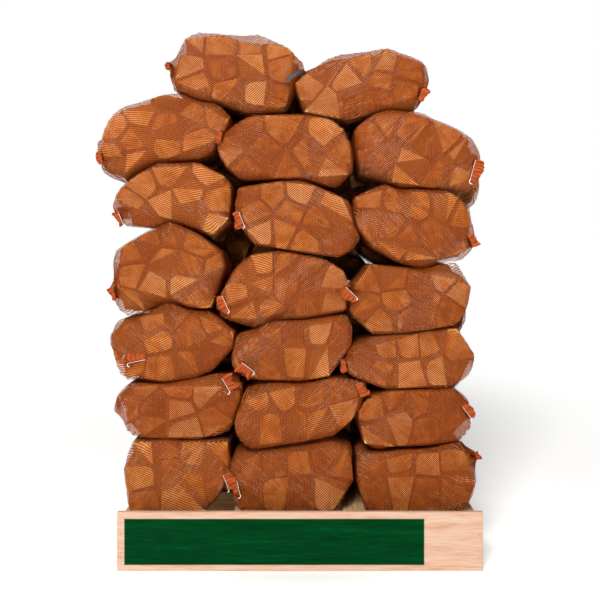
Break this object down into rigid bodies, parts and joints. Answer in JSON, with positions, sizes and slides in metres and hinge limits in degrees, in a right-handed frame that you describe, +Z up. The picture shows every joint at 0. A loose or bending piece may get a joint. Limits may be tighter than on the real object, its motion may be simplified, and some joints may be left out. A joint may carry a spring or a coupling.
{
  "type": "pallet of netted oak logs",
  "caption": "Loaded wooden pallet: orange net bags of split oak logs in stacked layers, behind a pale board with a green-painted panel.",
  "frame": {"origin": "under the middle bottom board of the pallet, at the middle of its length and depth, on the floor", "axes": "+X to the right along the pallet's length, +Y away from the front board, +Z up"},
  "size_m": [1.3794, 0.8203, 1.8001],
  "materials": {
    "pallet_board": "sawn pine, matt",
    "front_board": "pale sawn pine with a dark green painted rectangle",
    "netted_logs": "split oak seen through an orange knitted net"
  },
  "bodies": {
    "root": {"top_board_1": "pallet_board", "top_board_2": "pallet_board", "top_board_3": "pallet_board", "top_board_4": "pallet_board", "top_board_5": "pallet_board", "top_board_6": "pallet_board", "top_board_7": "pallet_board", "bottom_board_1": "pallet_board", "bottom_board_2": "pallet_board", "bottom_board_3": "pallet_board", "bearer_1": "pallet_board", "bearer_2": "pallet_board", "bearer_3": "pallet_board", "front_board": "front_board", "bag_front_7_left": "netted_logs", "bag_rear_7_left": "netted_logs", "bag_front_7_right": "netted_logs", "bag_rear_7_right": "netted_logs", "bag_front_6_left": "netted_logs", "bag_rear_6_left": "netted_logs", "bag_front_6_middle": "netted_logs", "bag_rear_6_middle": "netted_logs", "bag_front_6_right": "netted_logs", "bag_rear_6_right": "netted_logs", "bag_front_5_left": "netted_logs", "bag_rear_5_left": "netted_logs", "bag_front_5_middle": "netted_logs", "bag_rear_5_middle": "netted_logs", "bag_front_5_right": "netted_logs", "bag_rear_5_right": "netted_logs", "bag_front_4_left": "netted_logs", "bag_rear_4_left": "netted_logs", "bag_front_4_middle": "netted_logs", "bag_rear_4_middle": "netted_logs", "bag_front_4_right": "netted_logs", "bag_rear_4_right": "netted_logs", "bag_front_3_left": "netted_logs", "bag_rear_3_left": "netted_logs", "bag_front_3_middle": "netted_logs", "bag_rear_3_middle": "netted_logs", "bag_front_3_right": "netted_logs", "bag_rear_3_right": "netted_logs", "bag_front_2_left": "netted_logs", "bag_rear_2_left": "netted_logs", "bag_front_2_middle": "netted_logs", "bag_rear_2_middle": "netted_logs", "bag_front_2_right": "netted_logs", "bag_rear_2_right": "netted_logs", "bag_front_1_left": "netted_logs", "bag_rear_1_left": "netted_logs", "bag_front_1_middle": "netted_logs", "bag_rear_1_middle": "netted_logs", "bag_front_1_right": "netted_logs", "bag_rear_1_right": "netted_logs"}
  },
  "joints": []
}
